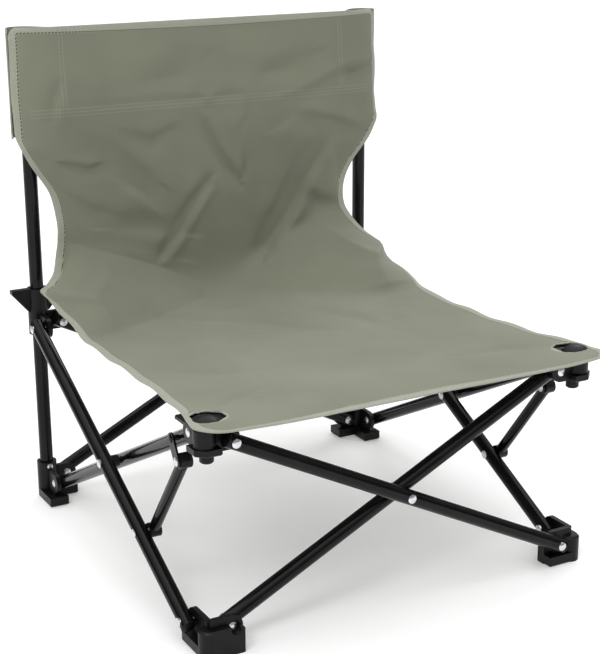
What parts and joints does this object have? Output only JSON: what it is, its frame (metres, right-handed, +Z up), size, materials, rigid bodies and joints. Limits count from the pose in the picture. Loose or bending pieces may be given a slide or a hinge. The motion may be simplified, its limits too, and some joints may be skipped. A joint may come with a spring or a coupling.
{
  "type": "folding camp chair",
  "caption": "Low folding camp chair: crossed black tubes with moulded hubs and sliding rear corners, and an olive canvas sling for seat and back.",
  "frame": {"origin": "on the floor under the middle of the chair's bounding box", "axes": "+Z up, the chair faces -Y, +X is the right-hand side seen from the front"},
  "size_m": [0.572, 0.5802, 0.64],
  "materials": {
    "black_tube": "satin black powder coat",
    "black_steel": "satin black paint",
    "black_plastic": "fine grained moulded nylon",
    "rivet_steel": "bright zinc plated",
    "canvas": "plain weave olive canvas"
  },
  "bodies": {
    "left_post": {"foot_rear_left": "black_plastic", "post_left": "black_tube", "post_cap_left": "black_plastic", "post_rivet_left": "rivet_steel", "back_sleeve_left": "canvas", "back_panel": "canvas"},
    "right_post": {"foot_rear_right": "black_plastic", "post_right": "black_tube", "post_cap_right": "black_plastic", "post_rivet_right": "rivet_steel", "back_sleeve_right": "canvas"},
    "seat_front": {"seat_front": "canvas"},
    "seat_rear": {"seat_rear": "canvas"},
    "tube_front_a": {"tube_front_a": "black_tube", "plugs_front_a": "black_plastic", "rivets_front_a": "rivet_steel", "spacer_front": "black_plastic"},
    "tube_front_b": {"tube_front_b": "black_tube", "plugs_front_b": "black_plastic", "rivets_front_b": "rivet_steel"},
    "tube_right_b": {"tube_right_b": "black_tube", "plugs_right_b": "black_plastic", "rivets_right_b": "rivet_steel", "spacer_right": "black_plastic", "latch_plate_right": "black_steel"},
    "tube_right_a": {"tube_right_a": "black_tube", "plugs_right_a": "black_plastic", "rivets_right_a": "rivet_steel"},
    "tube_rear_a": {"tube_rear_a": "black_tube", "plugs_rear_a": "black_plastic", "rivets_rear_a": "rivet_steel", "spacer_rear": "black_plastic"},
    "tube_rear_b": {"tube_rear_b": "black_tube", "plugs_rear_b": "black_plastic", "rivets_rear_b": "rivet_steel"},
    "tube_left_a": {"tube_left_a": "black_tube", "plugs_left_a": "black_plastic", "rivets_left_a": "rivet_steel", "spacer_left": "black_plastic"},
    "tube_left_b": {"tube_left_b": "black_tube", "plugs_left_b": "black_plastic", "rivets_left_b": "rivet_steel", "latch_plate_left": "black_steel"},
    "foot_front_left": {"foot_front_left": "black_plastic"},
    "hub_front_left": {"hub_front_left": "black_plastic", "hub_cap_left": "black_plastic", "seat_nose": "canvas"},
    "slider_left": {"slider_left": "black_plastic"},
    "brace_left": {"brace_left": "black_tube", "brace_eyes_left": "black_plastic", "brace_pins_left": "rivet_steel"},
    "foot_front_right": {"foot_front_right": "black_plastic"},
    "hub_front_right": {"hub_front_right": "black_plastic", "hub_cap_right": "black_plastic"},
    "slider_right": {"slider_right": "black_plastic"},
    "brace_right": {"brace_right": "black_tube", "brace_eyes_right": "black_plastic", "brace_pins_right": "rivet_steel"}
  },
  "joints": [
    {"name": "fold", "type": "hinge", "parent": "left_post", "child": "tube_left_b", "pos_m": [-0.25, 0.2324, 0.03], "axis": [-1, 0, 0], "range_deg": [0, 58.5], "deforming": ["back_panel", "seat_front", "seat_rear", "seat_nose", "back_sleeve_left", "back_sleeve_right"]},
    {"name": "left_b_to_hub", "type": "hinge", "parent": "tube_left_b", "child": "hub_front_left", "pos_m": [-0.25, -0.2126, 0.252], "axis": [-1, 0, 0], "range_deg": [-58.6, 0]},
    {"name": "left_crossing", "type": "hinge", "parent": "tube_left_b", "child": "tube_left_a", "pos_m": [-0.25, 0.0099, 0.141], "axis": [-1, 0, 0], "range_deg": [-117.1, 0]},
    {"name": "left_a_to_foot", "type": "hinge", "parent": "tube_left_a", "child": "foot_front_left", "pos_m": [-0.25, -0.2126, 0.03], "axis": [-1, 0, 0], "range_deg": [0, 58.6]},
    {"name": "left_a_to_slider", "type": "hinge", "parent": "tube_left_a", "child": "slider_left", "pos_m": [-0.25, 0.2324, 0.252], "axis": [-1, 0, 0], "range_deg": [0, 58.6]},
    {"name": "left_brace", "type": "hinge", "parent": "tube_left_a", "child": "brace_left", "pos_m": [-0.25, -0.09278, 0.08977], "axis": [-1, 0, 0], "range_deg": [0, 90.4]},
    {"name": "rear_a_to_foot", "type": "hinge", "parent": "left_post", "child": "tube_rear_a", "pos_m": [-0.2225, 0.2669, 0.03], "axis": [0, -1, 0], "range_deg": [0, 58.6]},
    {"name": "rear_crossing", "type": "hinge", "parent": "tube_rear_a", "child": "tube_rear_b", "pos_m": [0, 0.2669, 0.141], "axis": [0, -1, 0], "range_deg": [-117.1, 0]},
    {"name": "rear_b_to_post", "type": "hinge", "parent": "tube_rear_b", "child": "right_post", "pos_m": [0.2225, 0.2669, 0.03], "axis": [0, -1, 0], "range_deg": [0, 58.6]},
    {"name": "rear_a_to_slider", "type": "hinge", "parent": "tube_rear_a", "child": "slider_right", "pos_m": [0.2225, 0.2669, 0.252], "axis": [0, -1, 0], "range_deg": [-58.6, 0]},
    {"name": "right_b_to_foot", "type": "hinge", "parent": "right_post", "child": "tube_right_b", "pos_m": [0.25, 0.2324, 0.03], "axis": [-1, 0, 0], "range_deg": [0, 58.6]},
    {"name": "right_b_to_hub", "type": "hinge", "parent": "tube_right_b", "child": "hub_front_right", "pos_m": [0.25, -0.2126, 0.252], "axis": [-1, 0, 0], "range_deg": [-58.6, 0]},
    {"name": "right_crossing", "type": "hinge", "parent": "tube_right_b", "child": "tube_right_a", "pos_m": [0.25, 0.0099, 0.141], "axis": [-1, 0, 0], "range_deg": [-117.1, 0]},
    {"name": "right_a_to_foot", "type": "hinge", "parent": "tube_right_a", "child": "foot_front_right", "pos_m": [0.25, -0.2126, 0.03], "axis": [-1, 0, 0], "range_deg": [0, 58.6]},
    {"name": "right_brace", "type": "hinge", "parent": "tube_right_a", "child": "brace_right", "pos_m": [0.25, -0.09278, 0.08977], "axis": [-1, 0, 0], "range_deg": [0, 90.4]},
    {"name": "front_a_to_hub", "type": "hinge", "parent": "hub_front_left", "child": "tube_front_a", "pos_m": [-0.2225, -0.2471, 0.252], "axis": [0, -1, 0], "range_deg": [-58.6, 0]},
    {"name": "front_crossing", "type": "hinge", "parent": "tube_front_a", "child": "tube_front_b", "pos_m": [0, -0.2471, 0.141], "axis": [0, -1, 0], "range_deg": [0, 117.1]},
    {"name": "seat_front_drop", "type": "hinge", "parent": "hub_front_left", "child": "seat_front", "pos_m": [-0.25, -0.2171, 0.2745], "axis": [-1, 0, 0], "range_deg": [0, 85.2]},
    {"name": "seat_rear_drop", "type": "hinge", "parent": "left_post", "child": "seat_rear", "pos_m": [-0.25, 0.2279, 0.2745], "axis": [-1, 0, 0], "range_deg": [-85.2, 0]}
  ],
  "couplings": [
    {"joint": "left_b_to_hub", "follows": "fold", "ratio": -1},
    {"joint": "left_crossing", "follows": "fold", "ratio": -2},
    {"joint": "left_a_to_foot", "follows": "fold", "ratio": 1},
    {"joint": "left_a_to_slider", "follows": "fold", "ratio": 1},
    {"joint": "left_brace", "follows": "fold", "ratio": 1.5428},
    {"joint": "rear_a_to_foot", "follows": "fold", "ratio": 1},
    {"joint": "rear_crossing", "follows": "fold", "ratio": -2},
    {"joint": "rear_b_to_post", "follows": "fold", "ratio": 1},
    {"joint": "rear_a_to_slider", "follows": "fold", "ratio": -1},
    {"joint": "right_b_to_foot", "follows": "fold", "ratio": 1},
    {"joint": "right_b_to_hub", "follows": "fold", "ratio": -1},
    {"joint": "right_crossing", "follows": "fold", "ratio": -2},
    {"joint": "right_a_to_foot", "follows": "fold", "ratio": 1},
    {"joint": "right_brace", "follows": "fold", "ratio": 1.5428},
    {"joint": "front_a_to_hub", "follows": "fold", "ratio": -1},
    {"joint": "front_crossing", "follows": "fold", "ratio": 2},
    {"joint": "seat_front_drop", "follows": "fold", "ratio": 1.453},
    {"joint": "seat_rear_drop", "follows": "fold", "ratio": -1.453}
  ]
}
